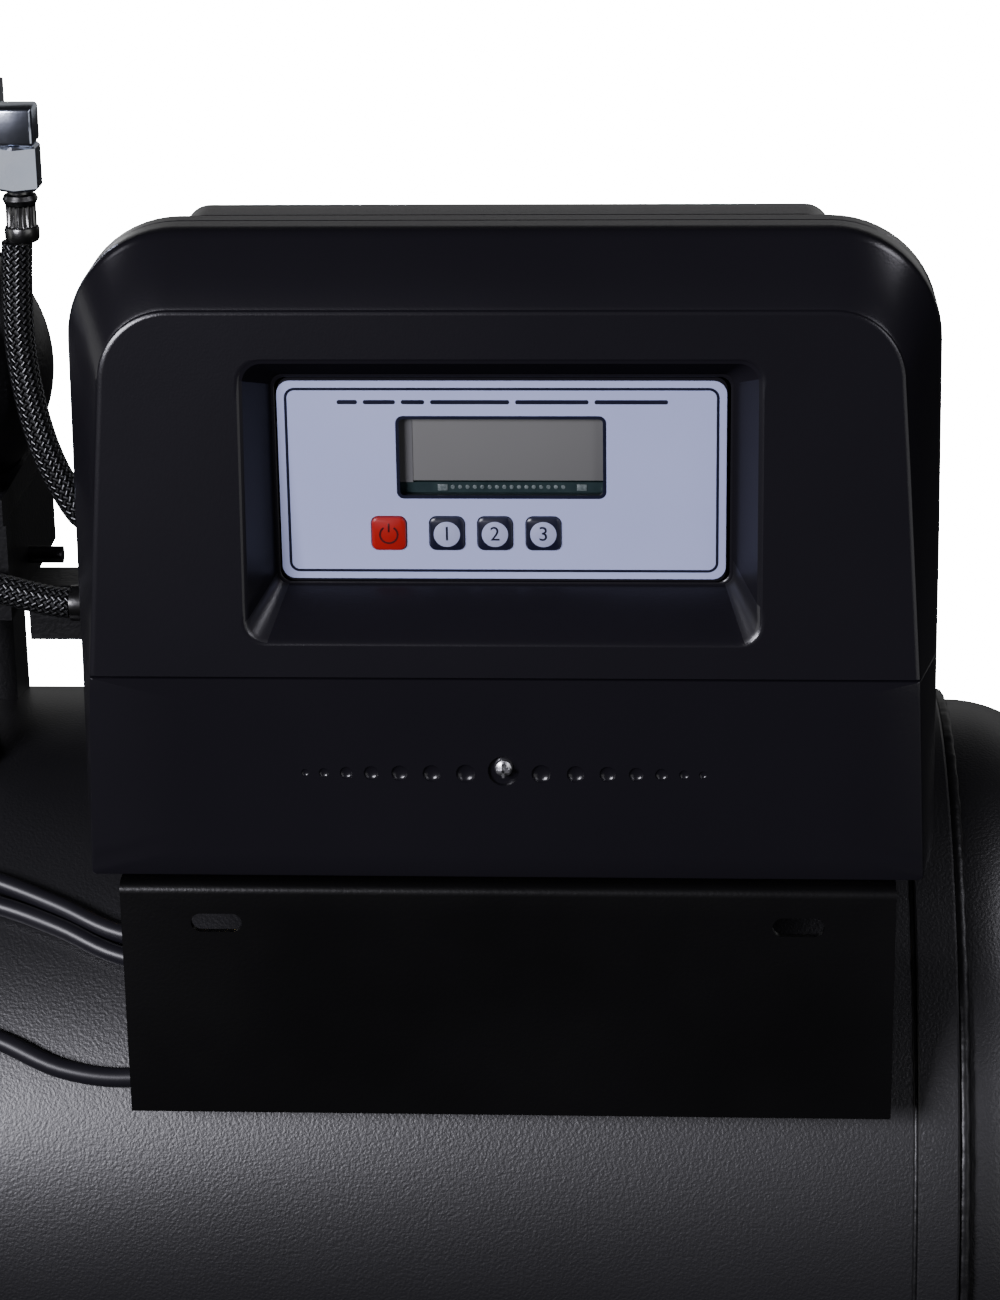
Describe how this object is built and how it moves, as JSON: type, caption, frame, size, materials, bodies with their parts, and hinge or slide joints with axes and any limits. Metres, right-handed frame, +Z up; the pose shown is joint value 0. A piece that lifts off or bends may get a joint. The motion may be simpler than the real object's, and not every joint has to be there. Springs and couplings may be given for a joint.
{
  "type": "air compressor",
  "caption": "Oil-free air compressor: electric pumps in a row on a wheeled horizontal tank, with a black control box, display and keys on a folded bracket at one end.",
  "frame": {"origin": "on the floor, at the middle of the whole machine's bounding box", "axes": "+X along the tank to the end with the control box, the panel faces -Y, +Z up"},
  "size_m": [1.33, 0.38, 0.7215],
  "materials": {
    "box_plastic": "satin",
    "label_film": "satin",
    "display_glass": "gloss",
    "red_key": "satin",
    "navy_key": "satin",
    "zinc": "satin",
    "circuit_board": "satin",
    "relay_plastic": "matte",
    "black_plastic": "matte",
    "bracket_paint": "semi-gloss",
    "tank_paint": "gloss with orange peel",
    "black_rubber": "matte",
    "tyre_rubber": "matte",
    "brass": "satin",
    "red_plastic": "satin",
    "anodised_block": "anodised",
    "nickel": "satin",
    "gauge_case": "satin",
    "pump_paint": "satin",
    "cast_aluminium": "as cast",
    "rotor_steel": "machined",
    "steel_braid": "woven braid"
  },
  "bodies": {
    "chassis": {"front_cover": "box_plastic", "wiring_cover": "box_plastic", "rear_housing": "box_plastic", "panel_label": "label_film", "display_module": "display_glass", "cover_screw": "zinc", "control_board": "circuit_board", "power_relays": "relay_plastic", "cable_glands": "black_plastic", "control_bracket": "bracket_paint", "tank_shell": "tank_paint", "tank_head_left": "tank_paint", "tank_head_right": "tank_paint", "pump_legs": "tank_paint", "tank_feet": "tank_paint", "rubber_feet": "black_rubber", "axle": "zinc", "handle_bar": "tank_paint", "handle_grip": "black_rubber", "drain_valve": "brass", "inlet_manifold": "anodised_block", "check_valves": "brass", "outlet_block": "nickel", "pressure_gauge": "gauge_case", "safety_valve": "brass", "outlet_valve": "nickel", "pump_1_motor": "pump_paint", "pump_2_motor": "pump_paint", "pump_3_motor": "pump_paint", "pump_1_crankcases": "pump_paint", "pump_2_crankcases": "pump_paint", "pump_3_crankcases": "pump_paint", "cylinders": "cast_aluminium", "cylinder_heads": "cast_aluminium", "pistons": "cast_aluminium", "fan_covers": "black_plastic", "intake_filters": "black_plastic", "pump_cradles": "tank_paint", "isolators": "black_rubber", "pump_screws": "zinc", "air_fittings": "zinc", "air_hose_1": "steel_braid", "air_hose_2": "steel_braid", "air_hose_3": "steel_braid", "motor_leads": "black_rubber"},
    "power_key": {"power_button": "red_key"},
    "key_1": {"select_button_1": "navy_key"},
    "key_2": {"select_button_2": "navy_key"},
    "key_3": {"select_button_3": "navy_key"},
    "front_wheel": {"wheel_front": "black_plastic", "tyre_front": "tyre_rubber"},
    "back_wheel": {"wheel_back": "black_plastic", "tyre_back": "tyre_rubber"},
    "drain_screw": {"drain_knob": "red_plastic"},
    "needle": {"gauge_needle": "red_plastic"},
    "ring_pull": {"safety_ring": "zinc"},
    "valve_lever": {"outlet_lever": "red_plastic"},
    "rotor_1": {"pump_1_rotor": "rotor_steel"},
    "rotor_2": {"pump_2_rotor": "rotor_steel"},
    "rotor_3": {"pump_3_rotor": "rotor_steel"}
  },
  "joints": [
    {"name": "power_key_press", "type": "slide", "parent": "chassis", "child": "power_key", "axis": [0, 1, 0], "range_m": [0, 0.001], "stiffness_N_per_m": 1000, "springref_m": -0.0005},
    {"name": "key_1_press", "type": "slide", "parent": "chassis", "child": "key_1", "axis": [0, 1, 0], "range_m": [0, 0.001], "stiffness_N_per_m": 1000, "springref_m": -0.0005},
    {"name": "key_2_press", "type": "slide", "parent": "chassis", "child": "key_2", "axis": [0, 1, 0], "range_m": [0, 0.001], "stiffness_N_per_m": 1000, "springref_m": -0.0005},
    {"name": "key_3_press", "type": "slide", "parent": "chassis", "child": "key_3", "axis": [0, 1, 0], "range_m": [0, 0.001], "stiffness_N_per_m": 1000, "springref_m": -0.0005},
    {"name": "front_wheel_turn", "type": "hinge", "parent": "chassis", "child": "front_wheel", "pos_m": [0.43, -0.174, 0.075], "axis": [0, 1, 0], "continuous": true},
    {"name": "back_wheel_turn", "type": "hinge", "parent": "chassis", "child": "back_wheel", "pos_m": [0.43, 0.174, 0.075], "axis": [0, 1, 0], "continuous": true},
    {"name": "drain_turn", "type": "hinge", "parent": "chassis", "child": "drain_screw", "pos_m": [0, 0, 0.06], "axis": [0, 0, 1], "range_deg": [0, 90]},
    {"name": "needle_turn", "type": "hinge", "parent": "chassis", "child": "needle", "pos_m": [0.4235, 0.05, 0.468], "axis": [0, -1, 0], "range_deg": [0, 270], "stiffness_Nm_per_rad": 0.002, "springref_deg": -5.73},
    {"name": "ring_lift", "type": "slide", "parent": "chassis", "child": "ring_pull", "axis": [0, 0, 1], "range_m": [0, 0.004], "stiffness_N_per_m": 2000, "springref_m": -0.002},
    {"name": "lever_turn", "type": "hinge", "parent": "chassis", "child": "valve_lever", "pos_m": [0.4995, 0.02, 0.468], "axis": [0, 0, 1], "range_deg": [0, 90]},
    {"name": "rotor_1_spin", "type": "hinge", "parent": "chassis", "child": "rotor_1", "pos_m": [-0.3905, 0, 0.5825], "axis": [1, 0, 0], "continuous": true},
    {"name": "rotor_2_spin", "type": "hinge", "parent": "chassis", "child": "rotor_2", "pos_m": [-0.1405, 0, 0.5825], "axis": [1, 0, 0], "continuous": true},
    {"name": "rotor_3_spin", "type": "hinge", "parent": "chassis", "child": "rotor_3", "pos_m": [0.1095, 0, 0.5825], "axis": [1, 0, 0], "continuous": true}
  ]
}
